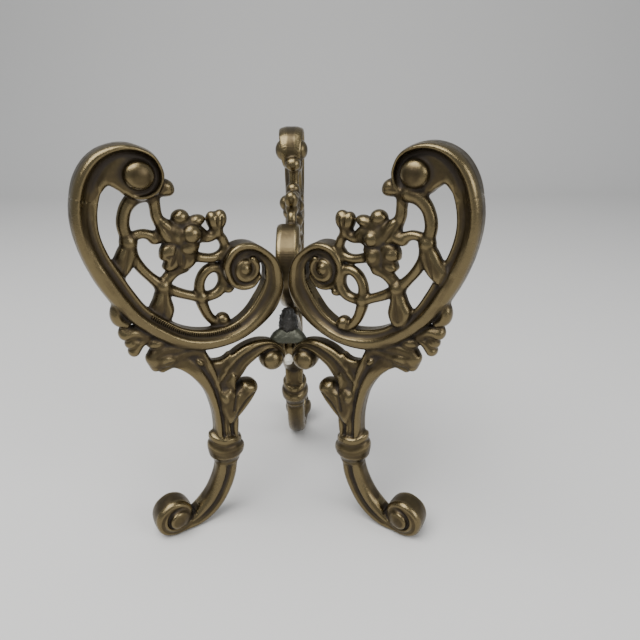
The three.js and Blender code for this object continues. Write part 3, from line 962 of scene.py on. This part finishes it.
class Nodes:
    """Shorthand for building a node tree."""

    def __init__(self, tree: bpy.types.NodeTree) -> None:
        self.tree = tree

    def add(self, kind: str, settings: dict[str, object] | None = None, **inputs: object) -> bpy.types.Node:
        """Adds a node, sets its properties, and sets or links its inputs by name."""
        node = self.tree.nodes.new(kind)
        for key, value in (settings or {}).items():
            setattr(node, key, value)
        for key, value in inputs.items():
            self.plug(node, key.replace("_", " "), value)
        return node

    def plug(self, node: bpy.types.Node, key: str | int, value: object) -> None:
        """Links a socket to an input, or sets the input's value."""
        if isinstance(value, bpy.types.NodeSocket):
            self.tree.links.new(value, node.inputs[key])
        else:
            node.inputs[key].default_value = value

    def math(self, operation: str, *values: object, clamp: bool = False) -> bpy.types.NodeSocket:
        """A Math node over sockets and numbers."""
        node = self.tree.nodes.new("ShaderNodeMath")
        node.operation = operation
        node.use_clamp = clamp
        for i, value in enumerate(values):
            self.plug(node, i, value)
        return node.outputs[0]

    def span(
        self, value: object, low: float, high: float, to_low: float = 0.0, to_high: float = 1.0
    ) -> bpy.types.NodeSocket:
        """Maps a range smoothly on to another, held at both ends."""
        node = self.tree.nodes.new("ShaderNodeMapRange")
        node.interpolation_type = "SMOOTHSTEP"
        for i, number in enumerate((value, low, high, to_low, to_high)):
            self.plug(node, i, number)
        return node.outputs[0]

    def mix(self, factor: object, a: object, b: object) -> bpy.types.NodeSocket:
        """A Mix node over two colours."""
        node = self.tree.nodes.new("ShaderNodeMix")
        node.data_type = "RGBA"
        for socket, value in ((0, factor), (6, a), (7, b)):
            self.plug(node, socket, value)
        return node.outputs[2]

    def noise(self, where: object, scale: float, detail: float, rough: float) -> bpy.types.NodeSocket:
        """Noise over object coordinates."""
        node = self.add("ShaderNodeTexNoise", Vector=where, Scale=scale, Detail=detail, Roughness=rough)
        return node.outputs[0]

    def dress(self, colour: object, rough: object, metal: object, normal: object) -> None:
        """Sets or links the shader's own sockets."""
        shader = self.tree.nodes["Principled BSDF"]
        given = {"Base Color": colour, "Roughness": rough, "Metallic": metal, "Normal": normal}
        for key, value in given.items():
            self.plug(shader, key, value)


def cast_skin() -> bpy.types.NodeTree:
    """The shared skin of a cast surface: masks for edges (rubbed metal and painted highlight), hollows
    (patina and painted shade), blotches and flecks, and its grain.
    """
    tree = bpy.data.node_groups.new("cast_skin", "ShaderNodeTree")
    face = tree.interface
    face.new_socket("Rub", in_out="INPUT", socket_type="NodeSocketFloat").default_value = 0.5
    face.new_socket("Grain", in_out="INPUT", socket_type="NodeSocketFloat").default_value = 0.5
    for name in ("Edge", "Cavity", "Blotch", "Fleck"):
        face.new_socket(name, in_out="OUTPUT", socket_type="NodeSocketFloat")
    face.new_socket("Normal", in_out="OUTPUT", socket_type="NodeSocketVector")
    n = Nodes(tree)
    given = tree.nodes.new("NodeGroupInput").outputs
    where = n.add("ShaderNodeTexCoord").outputs["Object"]
    fine = n.add("ShaderNodeAttribute", {"attribute_name": "relief_fine"}).outputs["Fac"]
    broad = n.add("ShaderNodeAttribute", {"attribute_name": "relief_broad"}).outputs["Fac"]
    mottle = n.noise(where, 420.0, 5.0, 0.6)
    cloud = n.noise(where, 75.0, 3.0, 0.5)
    grit = n.noise(where, 1900.0, 3.0, 0.6)
    rise = n.math("ADD", n.math("MULTIPLY", fine, 1.1), n.math("MULTIPLY", broad, 0.5))
    ragged = n.math("ADD", rise, n.math("MULTIPLY", n.math("SUBTRACT", mottle, 0.5), 0.22))
    threshold = n.span(given["Rub"], 0.0, 1.0, 0.34, 0.06)
    # Edges: partly rubbed metal, partly painted highlight. The mask lightens convex ridges, where wear rubs
    # and where light catches.
    edge = n.span(n.math("SUBTRACT", ragged, threshold), 0.0, 0.28)
    # Hollows: partly real patina, partly painted shade. The mask darkens concave places, where patina gathers
    # and where shade falls.
    hollow = n.math("ADD", n.math("MULTIPLY", fine, -0.8), n.math("MULTIPLY", broad, -0.85))
    dark = n.math("ADD", hollow, n.math("MULTIPLY", n.math("SUBTRACT", cloud, 0.5), 0.3))
    cavity = n.span(dark, 0.0, 0.8)
    patches = n.math("ADD", n.math("MULTIPLY", cloud, 0.7), n.math("MULTIPLY", mottle, 0.3))
    blotch = n.span(patches, 0.36, 0.66)
    fleck = n.span(grit, 0.56, 0.72)
    height = n.math("ADD", n.math("MULTIPLY", mottle, 0.6), n.math("MULTIPLY", grit, 0.4))
    bump = n.add("ShaderNodeBump", Strength=given["Grain"], Distance=0.00035, Height=height)
    out = tree.nodes.new("NodeGroupOutput")
    for name, socket in zip(("Edge", "Cavity", "Blotch", "Fleck"), (edge, cavity, blotch, fleck)):
        tree.links.new(socket, out.inputs[name])
    tree.links.new(bump.outputs[0], out.inputs["Normal"])
    return tree


Colour = tuple[float, float, float, float]


def tint(red: float, green: float, blue: float) -> Colour:
    """An opaque colour."""
    return (red, green, blue, 1.0)


@dataclass(frozen=True)
class Brass:
    """Aged cast brass: brown patina with painted shade in the hollows, olive on the flats and rubbed metal
    with a painted highlight on the edges.

    Attributes:
        name: The material's name.
        rub: How much of the edges is lightened, as rubbed metal and as a painted highlight.
        flat: The colour of the flats.
        blotch: The colour of the patches on them.
        cavity: The colour in the hollows: brown patina, darkened further as painted shade.
        bright: The colour of the edges: rubbed metal, lightened further as a painted highlight.
        roughness: The roughness of the flats.
        grain: How strong the casting's grain is.
    """

    name: str
    rub: float
    flat: Colour
    blotch: Colour
    cavity: Colour
    bright: Colour
    roughness: float
    grain: float = 0.5

    def build(self, skin: bpy.types.NodeTree) -> bpy.types.Material:
        """Makes the material."""
        material = bpy.data.materials.new(self.name)
        material.use_nodes = True
        n = Nodes(material.node_tree)
        group = n.add("ShaderNodeGroup", {"node_tree": skin}, Rub=self.rub, Grain=self.grain)
        out = group.outputs
        ground = n.mix(out["Blotch"], self.flat, self.blotch)
        # Painted shade with patina: the hollows take the dark cavity colour.
        patina_and_shade = n.mix(out["Cavity"], ground, self.cavity)
        # Painted highlight with wear: the ridges take the lighter bright colour.
        rub_and_highlight = n.mix(n.math("MULTIPLY", out["Edge"], 0.46), patina_and_shade, self.bright)
        rough = n.math("ADD", self.roughness, n.math("MULTIPLY", out["Cavity"], 0.26))
        rough = n.math("ADD", rough, n.math("MULTIPLY", out["Blotch"], 0.08))
        rough = n.math("SUBTRACT", rough, n.math("MULTIPLY", out["Edge"], 0.12), clamp=True)
        metal = n.math("SUBTRACT", 0.97, n.math("MULTIPLY", out["Cavity"], 0.5))
        n.dress(rub_and_highlight, rough, metal, out["Normal"])
        return material


@dataclass(frozen=True)
class Dull:
    """A dull mass: solder, filler or pitch, dusty and unevenly coloured.

    Attributes:
        name: The material's name.
        ground: Its own colour.
        dust: The colour of the patches on it.
        fleck: The colour of its flecks.
        roughness: Its roughness between the flecks.
        metallic: How much of a metal it is.
    """

    name: str
    ground: Colour
    dust: Colour
    fleck: Colour
    roughness: float
    metallic: float

    def build(self, skin: bpy.types.NodeTree) -> bpy.types.Material:
        """Makes the material."""
        material = bpy.data.materials.new(self.name)
        material.use_nodes = True
        n = Nodes(material.node_tree)
        out = n.add("ShaderNodeGroup", {"node_tree": skin}, Rub=0.4, Grain=0.7).outputs
        dusty = n.mix(n.math("MULTIPLY", out["Blotch"], 0.6), self.ground, self.dust)
        colour = n.mix(n.math("MULTIPLY", out["Fleck"], 0.5), dusty, self.fleck)
        rough = n.math("ADD", self.roughness, n.math("MULTIPLY", out["Fleck"], 0.2), clamp=True)
        n.dress(colour, rough, self.metallic, out["Normal"])
        return material


# ---------------------------------------------------------------- the stand


@dataclass
class Shop:
    """The finishes, made once."""

    materials: dict[Slot, bpy.types.Material] = field(default_factory=dict)
    pale_drop: bpy.types.Material | None = None

    def stock(self) -> None:
        """Makes every finish."""
        skin = cast_skin()
        # cavity is patina darkened with painted shade; bright is rubbed metal lightened with a painted
        # highlight.
        aged = Brass(
            "aged_brass", rub=0.42, flat=tint(0.094, 0.072, 0.037), blotch=tint(0.062, 0.046, 0.026),
            cavity=tint(0.026, 0.0182, 0.0112), bright=tint(0.25, 0.195, 0.098), roughness=0.33,
        )
        filler = Dull(
            "filler", ground=tint(0.05, 0.052, 0.036), dust=tint(0.1, 0.1, 0.072),
            fleck=tint(0.17, 0.17, 0.13), roughness=0.42, metallic=0.6,
        )
        pitch = Dull(
            "pitch", ground=tint(0.012, 0.01, 0.008), dust=tint(0.024, 0.021, 0.016),
            fleck=tint(0.12, 0.11, 0.09), roughness=0.5, metallic=0.0,
        )
        # A small pale lump for under the hub: a pale, matt, flecked colour.
        pale_drop = Dull(
            "pale_drop", ground=tint(0.78, 0.75, 0.66), dust=tint(0.5, 0.47, 0.38),
            fleck=tint(0.86, 0.84, 0.78), roughness=0.75, metallic=0.0,
        )
        self.materials = {
            Slot.AGED: aged.build(skin),
            Slot.RUBBED: replace(aged, name="rubbed_brass").build(skin),
            Slot.FILLER: filler.build(skin),
            Slot.PITCH: pitch.build(skin),
        }
        self.pale_drop = pale_drop.build(skin)


class Growth:
    """A geometry node tree with named inputs that ends in real geometry with a material.

    Args:
        name: The tree's name.
        inputs: The named inputs and their values.
    """

    def __init__(self, name: str, inputs: dict[str, float | int]) -> None:
        self.inputs = inputs
        self.tree = bpy.data.node_groups.new(name, "GeometryNodeTree")
        face = self.tree.interface
        face.new_socket("Geometry", in_out="INPUT", socket_type="NodeSocketGeometry")
        for key, value in inputs.items():
            kind = "NodeSocketInt" if isinstance(value, int) else "NodeSocketFloat"
            face.new_socket(key, in_out="INPUT", socket_type=kind).default_value = value
        face.new_socket("Geometry", in_out="OUTPUT", socket_type="NodeSocketGeometry")
        self.nodes = Nodes(self.tree)
        self.given = self.tree.nodes.new("NodeGroupInput").outputs

    def end(self, geometry: bpy.types.NodeSocket, material: bpy.types.Material) -> None:
        """Turns instances into real geometry, gives it its material and ends the tree."""
        smooth = self.nodes.add("GeometryNodeSetShadeSmooth", Geometry=geometry).outputs[0]
        real = self.nodes.add("GeometryNodeRealizeInstances", Geometry=smooth).outputs[0]
        dressed = self.nodes.add("GeometryNodeSetMaterial", Geometry=real, Material=material).outputs[0]
        self.tree.links.new(dressed, self.tree.nodes.new("NodeGroupOutput").inputs[0])

    def grow(self, start: bpy.types.Mesh) -> bpy.types.Mesh:
        """The plain mesh that the tree makes of a starting mesh."""
        holder = bpy.data.objects.new(start.name, start)
        bpy.context.scene.collection.objects.link(holder)
        modifier = holder.modifiers.new("growth", "NODES")
        modifier.node_group = self.tree
        for item in self.tree.interface.items_tree:
            if item.item_type == "SOCKET" and item.in_out == "INPUT" and item.name in self.inputs:
                modifier[item.identifier] = self.inputs[item.name]
        graph = bpy.context.evaluated_depsgraph_get()
        mesh = bpy.data.meshes.new_from_object(holder.evaluated_get(graph), depsgraph=graph)
        holder.modifiers.remove(modifier)
        bpy.data.objects.remove(holder)
        return mesh


@dataclass(frozen=True)
class Lump:
    """A mass of filling at the stand's axis: a soft star or a round lump, with crumbs stuck to it.

    Attributes:
        name: The piece's name.
        node: The frame's piece that it replaces, if it does.
        slot: Its material slot.
        reach: Its radius towards each bracket.
        waist: Its radius between the brackets.
        bottom: Its lowest height.
        top: Its highest height.
        taper: How much narrower its top is than its middle, as a share.
        lumps: How far its surface is pushed in and out.
        crumbs: Crumbs for each square centimetre.
        seed: The seed of its lumps and crumbs.
        spot: Its middle, across and forward of the axis.
    """

    name: str
    node: str | None
    slot: Slot
    reach: float
    waist: float
    bottom: float
    top: float
    taper: float
    lumps: float
    crumbs: float
    seed: int
    spot: Plane = (0.0, 0.0)

    def growth(self, material: bpy.types.Material) -> Growth:
        """The tree: a ball drawn out to a star, made uneven, with crumbs scattered over it."""
        made = Growth(
            f"{self.name}_growth",
            {
                "Reach": self.reach * MM,
                "Waist": self.waist * MM,
                "Half": (self.top - self.bottom) / 2 * MM,
                "Middle": (self.top + self.bottom) / 2 * MM,
                "Taper": self.taper,
                "Lumps": self.lumps * MM,
                "Crumbs": self.crumbs * 1e4,
                "Seed": self.seed,
            },
        )
        n, given = made.nodes, made.given
        ball = n.add("GeometryNodeMeshUVSphere", Segments=96, Rings=48, Radius=1.0).outputs["Mesh"]
        x, y, z = n.add("ShaderNodeSeparateXYZ", Vector=n.add("GeometryNodeInputPosition").outputs[0]).outputs
        thrice = n.math("MULTIPLY", n.math("ARCTAN2", y, x), 3.0)
        lobe = n.math("MULTIPLY_ADD", n.math("SINE", thrice), -0.5, 0.5)
        span = n.math("SUBTRACT", given["Reach"], given["Waist"])
        radius = n.math("MULTIPLY_ADD", n.math("POWER", lobe, 1.6), span, given["Waist"])
        radius = n.math("MULTIPLY", radius, n.math("SUBTRACT", 1.0, n.math("MULTIPLY", given["Taper"], z)))
        plan = n.math("SQRT", n.math("ADD", n.math("MULTIPLY", x, x), n.math("MULTIPLY", y, y)))
        fuller = n.math("MULTIPLY", radius, n.math("POWER", n.math("MAXIMUM", plan, 1e-3), -0.45))
        height = n.math("MULTIPLY_ADD", z, given["Half"], given["Middle"])
        shape = n.add(
            "ShaderNodeCombineXYZ", X=n.math("MULTIPLY", x, fuller), Y=n.math("MULTIPLY", y, fuller), Z=height
        ).outputs[0]
        star = n.add("GeometryNodeSetPosition", Geometry=ball, Position=shape).outputs[0]
        settings = {"noise_dimensions": "4D"}
        waves = n.add("ShaderNodeTexNoise", settings, W=given["Seed"], Scale=260.0, Detail=3.0).outputs[0]
        push = n.math("MULTIPLY", n.math("SUBTRACT", waves, 0.5), n.math("MULTIPLY", given["Lumps"], 2.0))
        normal = n.add("GeometryNodeInputNormal").outputs[0]
        offset = n.add("ShaderNodeVectorMath", {"operation": "SCALE"}, Vector=normal, Scale=push).outputs[0]
        uneven = n.add("GeometryNodeSetPosition", Geometry=star, Offset=offset).outputs[0]
        points = n.add(
            "GeometryNodeDistributePointsOnFaces", Mesh=uneven, Density=given["Crumbs"], Seed=given["Seed"]
        ).outputs["Points"]
        crumb = n.add("GeometryNodeMeshIcoSphere", Radius=0.55 * MM, Subdivisions=2).outputs["Mesh"]
        size = n.add("FunctionNodeRandomValue", Seed=given["Seed"])
        for socket in size.inputs:
            if socket.type == "VALUE":
                socket.default_value = 0.4 if socket.name == "Min" else 1.2
        chosen = next(socket for socket in size.outputs if socket.type == "VALUE")
        stuck = n.add("GeometryNodeInstanceOnPoints", Points=points, Instance=crumb, Scale=chosen).outputs[0]
        both = made.tree.nodes.new("GeometryNodeJoinGeometry")
        made.tree.links.new(uneven, both.inputs[0])
        made.tree.links.new(stuck, both.inputs[0])
        made.end(both.outputs[0], material)
        return made

    def build(self, material: bpy.types.Material) -> None:
        """Makes the piece and puts it at the axis."""
        mesh = self.growth(material).grow(bpy.data.meshes.new(self.name))
        mesh.transform(Matrix.Translation(Vector((self.spot[0], -self.spot[1] - AXIS_BACK, 0)) * MM))
        piece = bpy.data.objects.new(self.name, mesh)
        bpy.context.scene.collection.objects.link(piece)
        if self.node:
            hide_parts(self.node)
        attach(piece, "root")


@dataclass(frozen=True)
class Hub:
    """What fills the middle between the three castings."""

    shop: Shop

    def build(self) -> None:
        """Makes the web, the plug that stands on it and the small pale lump under it."""
        web = Lump(
            "hub_filling", "hub_web", Slot.FILLER, reach=12.4, waist=7.2, bottom=118.2, top=128.6,
            taper=0.34, lumps=0.7, crumbs=1.5, seed=3,
        )
        plug = Lump(
            "hub_pitch", "hub_plug", Slot.PITCH, reach=6.0, waist=6.0, bottom=124.6, top=140.6,
            taper=0.26, lumps=1.6, crumbs=8.0, seed=5,
        )
        # A small pale lump just below the front of the web.
        drop = Lump(
            "hub_pale_drop", None, Slot.FILLER, reach=2.9, waist=2.6, bottom=105.4, top=111.6,
            taper=0.1, lumps=1.6, crumbs=0.0, seed=8, spot=(0.3, 8.6),
        )
        web.build(self.shop.materials[web.slot])
        plug.build(self.shop.materials[plug.slot])
        drop.build(self.shop.pale_drop)


@dataclass(frozen=True)
class Milling:
    """The row of fine ribs in the channel of the scroll's base, on the front face of each casting.

    Attributes:
        shop: The finishes.
        first: The scroll's station where the row begins.
        last: The station where it ends.
        share: Where the row lies across the scroll's width.
        lift: How far the ribs' middles are from the middle of the casting.
        pitch: The distance from one rib to the next.
        size: A rib's half length along the row, half depth and half length across it.
    """

    shop: Shop
    first: float = 15.4
    last: float = 20.4
    share: float = 0.82
    lift: float = 4.8
    pitch: float = 1.3
    size: tuple[float, float, float] = (0.44, 1.1, 1.5)

    def path(self) -> bpy.types.Mesh:
        """The line that the ribs stand on, as a mesh of edges."""
        per = 8
        rails = smooth_path(SCROLL, per)[int(self.first * per) : int(self.last * per)]
        spots = rails[:, :2] + self.share * (rails[:, 2:] - rails[:, :2])
        vertices = [(r * MM, self.lift * MM, z * MM) for r, z in spots]
        mesh = bpy.data.meshes.new("milling_path")
        mesh.from_pydata(vertices, [(i, i + 1) for i in range(len(vertices) - 1)], [])
        return mesh

    def growth(self) -> Growth:
        """The tree: one rib at every step of the path, square to it."""
        along, depth, across = self.size
        made = Growth(
            "milling_growth",
            {"Pitch": self.pitch * MM, "Along": along * MM, "Depth": depth * MM, "Across": across * MM},
        )
        n, given = made.nodes, made.given
        curve = n.add("GeometryNodeMeshToCurve", Mesh=given["Geometry"]).outputs[0]
        by_length = {"mode": "LENGTH"}
        steps = n.add("GeometryNodeResampleCurve", by_length, Curve=curve, Length=given["Pitch"]).outputs[0]
        tangent = n.add("GeometryNodeInputTangent").outputs[0]
        turn = n.add("FunctionNodeAlignRotationToVector", {"axis": "X"}, Vector=tangent).outputs[0]
        size = n.add("ShaderNodeCombineXYZ", X=given["Along"], Y=given["Depth"], Z=given["Across"]).outputs[0]
        rib = n.add("GeometryNodeMeshIcoSphere", Radius=1.0, Subdivisions=2).outputs["Mesh"]
        row = n.add("GeometryNodeInstanceOnPoints", Points=steps, Instance=rib, Rotation=turn, Scale=size)
        made.end(row.outputs[0], self.shop.materials[Slot.AGED])
        return made

    def build(self) -> None:
        """Makes the row once and sets a copy of it into each casting."""
        row = self.growth().grow(self.path())
        for side, azimuth in AZIMUTHS.items():
            mesh = row.copy()
            mesh.transform(place(azimuth))
            piece = bpy.data.objects.new(f"{side}_cast_milling", mesh)
            bpy.context.scene.collection.objects.link(piece)
            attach(piece, "root")
        bpy.data.meshes.remove(row)


@dataclass
class Brackets:
    """The three castings, cut from one sculpture."""

    shop: Shop

    def build(self) -> None:
        """Sculpts one bracket and stands a copy of each of its pieces at every azimuth."""
        block = Block((0.8, -12.6, -1.2), (120.6, 12.6, 249.0), CELL)
        molten = Molten(block, Casting(block).groups())
        for index, region in enumerate(molten.regions):
            vertices, quads, fine, broad = molten.piece(index)
            log.info("%s: %d quads", region.name, len(quads))
            base = mesh_of(region.name, vertices, quads, {"relief_fine": fine, "relief_broad": broad})
            for side, azimuth in AZIMUTHS.items():
                mesh = base.copy()
                mesh.transform(place(azimuth))
                piece = bpy.data.objects.new(f"{side}_cast_{region.name}", mesh)
                bpy.context.scene.collection.objects.link(piece)
                mesh.materials.append(self.shop.materials[region.slot])
                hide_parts(*[f"{side}_{node}" for node in region.nodes])
                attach(piece, "root")
            bpy.data.meshes.remove(base)


@dataclass
class Studio:
    """The floor, the soft lights and the camera."""

    def build(self) -> None:
        """Sets up everything that isn't the stand."""
        self.floor()
        self.lights()
        self.camera()

    def floor(self) -> None:
        """A plain pale floor that curves up behind."""
        width, depth, rise, radius = 3.0, 1.2, 1.6, 0.5
        profile = [(-2.2, 0.0), (depth, 0.0)]
        for i in range(1, 13):
            a = math.pi / 2 * i / 12
            profile.append((depth + radius * math.sin(a), radius * (1 - math.cos(a))))
        profile.append((depth + radius, rise))
        vertices = [(x, y, z) for y, z in profile for x in (-width, width)]
        faces = [(2 * i, 2 * i + 1, 2 * i + 3, 2 * i + 2) for i in range(len(profile) - 1)]
        mesh = bpy.data.meshes.new("floor")
        mesh.from_pydata(vertices, [], faces)
        for polygon in mesh.polygons:
            polygon.use_smooth = True
        material = bpy.data.materials.new("floor")
        material.use_nodes = True
        shader = material.node_tree.nodes["Principled BSDF"]
        shader.inputs["Base Color"].default_value = tint(0.62, 0.61, 0.59)
        shader.inputs["Roughness"].default_value = 0.7
        mesh.materials.append(material)
        floor = bpy.data.objects.new("floor", mesh)
        bpy.context.scene.collection.objects.link(floor)

    def lights(self) -> None:
        """A broad lamp overhead, a softer one at the right and a pale surrounding."""
        for name, energy, size, spot, turn in (
            ("key", 26.0, 1.1, (-0.35, -0.35, 1.25), (18, -16, 0)),
            ("side", 9.0, 0.8, (1.1, -0.7, 0.7), (62, 0, 58)),
        ):
            lamp = bpy.data.lights.new(name, "AREA")
            lamp.shape = "SQUARE"
            lamp.size = size
            lamp.energy = energy
            made = bpy.data.objects.new(name, lamp)
            made.location = spot
            made.rotation_euler = Euler([math.radians(v) for v in turn])
            bpy.context.scene.collection.objects.link(made)
        world = bpy.data.worlds.new("room")
        world.use_nodes = True
        background = world.node_tree.nodes["Background"]
        background.inputs[0].default_value = tint(0.82, 0.86, 0.92)
        background.inputs[1].default_value = 0.55
        bpy.context.scene.world = world

    def camera(self) -> None:
        """A wide lens a little above the stand, looking down at it."""
        lens = bpy.data.cameras.new("camera")
        lens.sensor_width = 36.0
        lens.lens = 29.93
        camera = bpy.data.objects.new("camera", lens)
        turn = Matrix.Rotation(math.radians(0.68), 4, "Z")
        tilt = Matrix.Rotation(math.radians(90 - 22.9), 4, "X")
        roll = Matrix.Rotation(math.radians(-0.39), 4, "Z")
        spot = Vector((24.44, -318.03 - AXIS_BACK, 266.8)) * MM
        camera.matrix_world = Matrix.Translation(spot) @ turn @ tilt @ roll
        bpy.context.scene.collection.objects.link(camera)
        bpy.context.scene.camera = camera


def main() -> None:
    """Builds the stand over its frame, and the studio round it."""
    logging.basicConfig(level=logging.INFO, format="%(name)s: %(message)s")
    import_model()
    shop = Shop()
    shop.stock()
    Brackets(shop).build()
    Milling(shop).build()
    Hub(shop).build()
    Studio().build()


if __name__ == "__main__":
    main()
